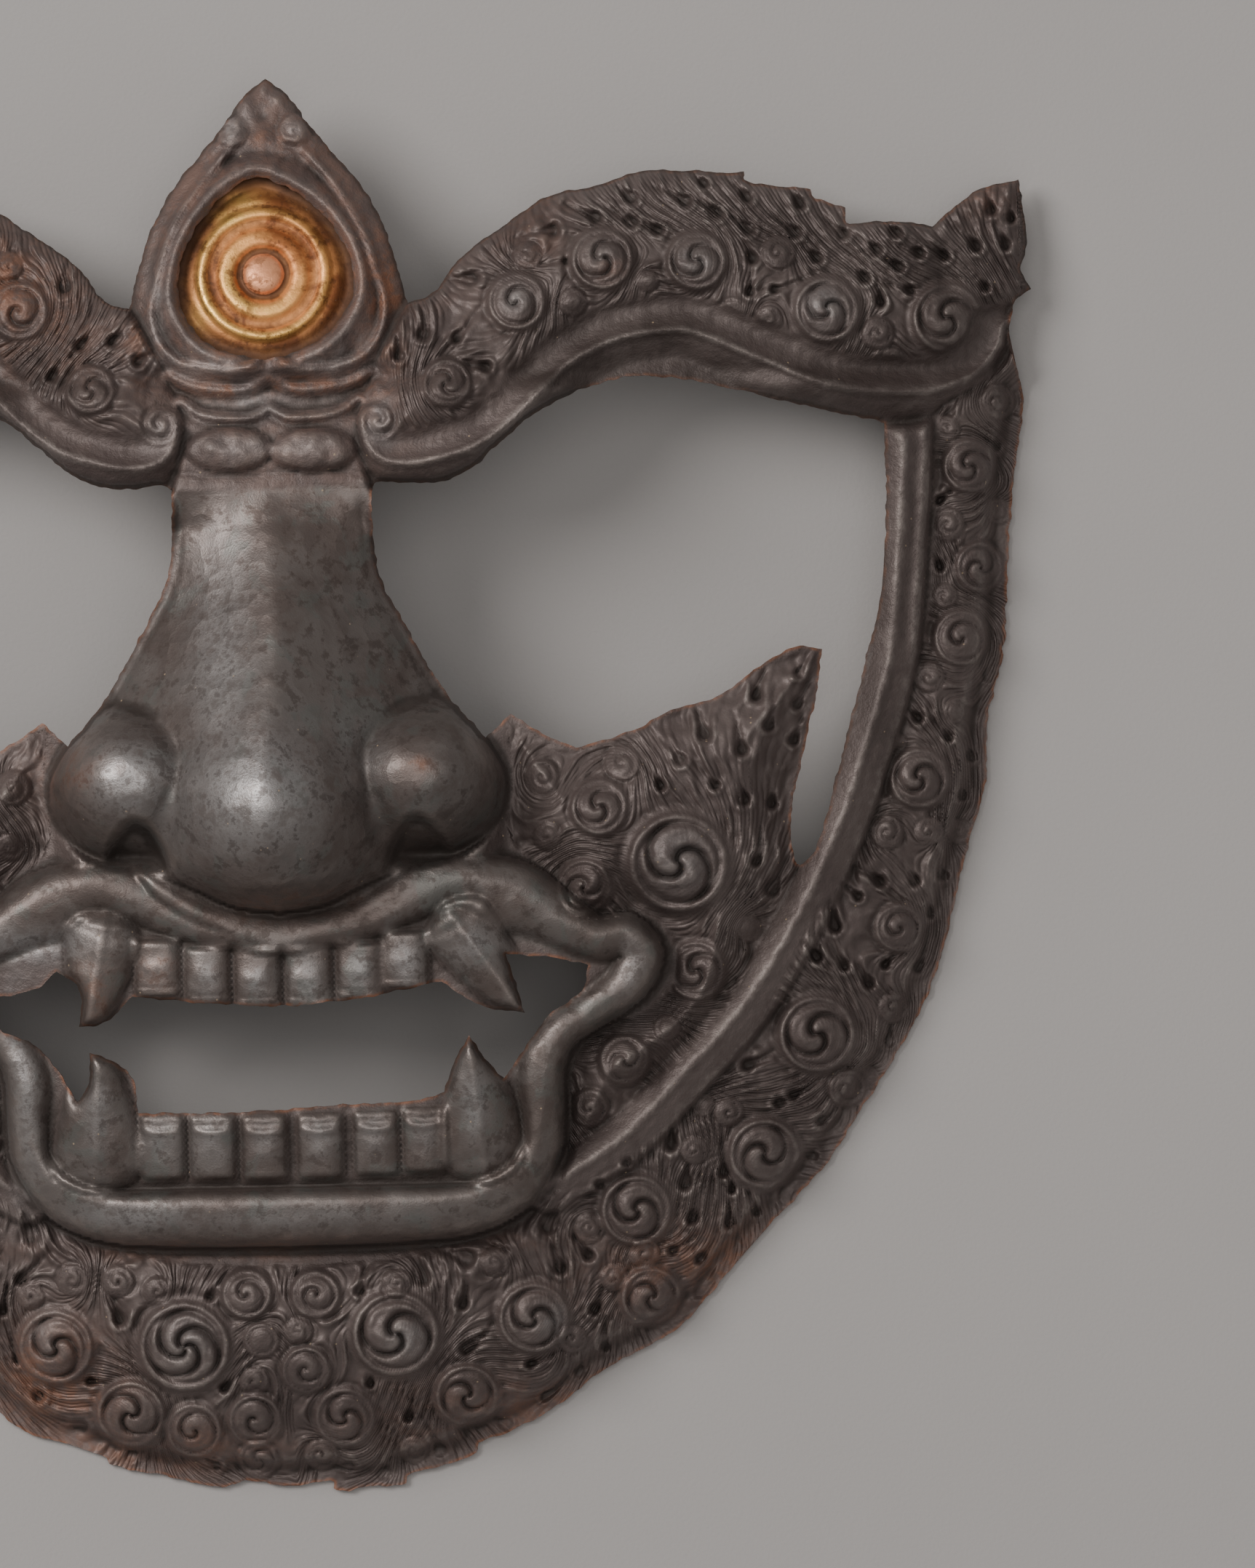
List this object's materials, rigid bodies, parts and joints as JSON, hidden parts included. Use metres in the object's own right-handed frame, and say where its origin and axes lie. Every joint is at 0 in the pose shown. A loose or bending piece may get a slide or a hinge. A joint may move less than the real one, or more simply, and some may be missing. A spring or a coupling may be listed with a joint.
{
  "type": "openwork guardian mask",
  "caption": "Openwork mask of a wrathful guardian face with flame brows, fangs and a curled beard in raised copper, and a gilt third eye.",
  "frame": {"origin": "centre of the mask's outline, on the plane that its rim lies on", "axes": "+Z the way the face looks, +Y towards the crown, +X its left cheek"},
  "size_m": [0.3868, 0.3599, 0.0971],
  "materials": {
    "dark_copper": "dark brown-black patina over raised and chased copper sheet, worn brighter on the high places",
    "gilt_copper": "worn fire gilding over copper"
  },
  "bodies": {
    "root": {"mask_body": "dark_copper", "gilt_third_eye": "gilt_copper"}
  },
  "joints": []
}
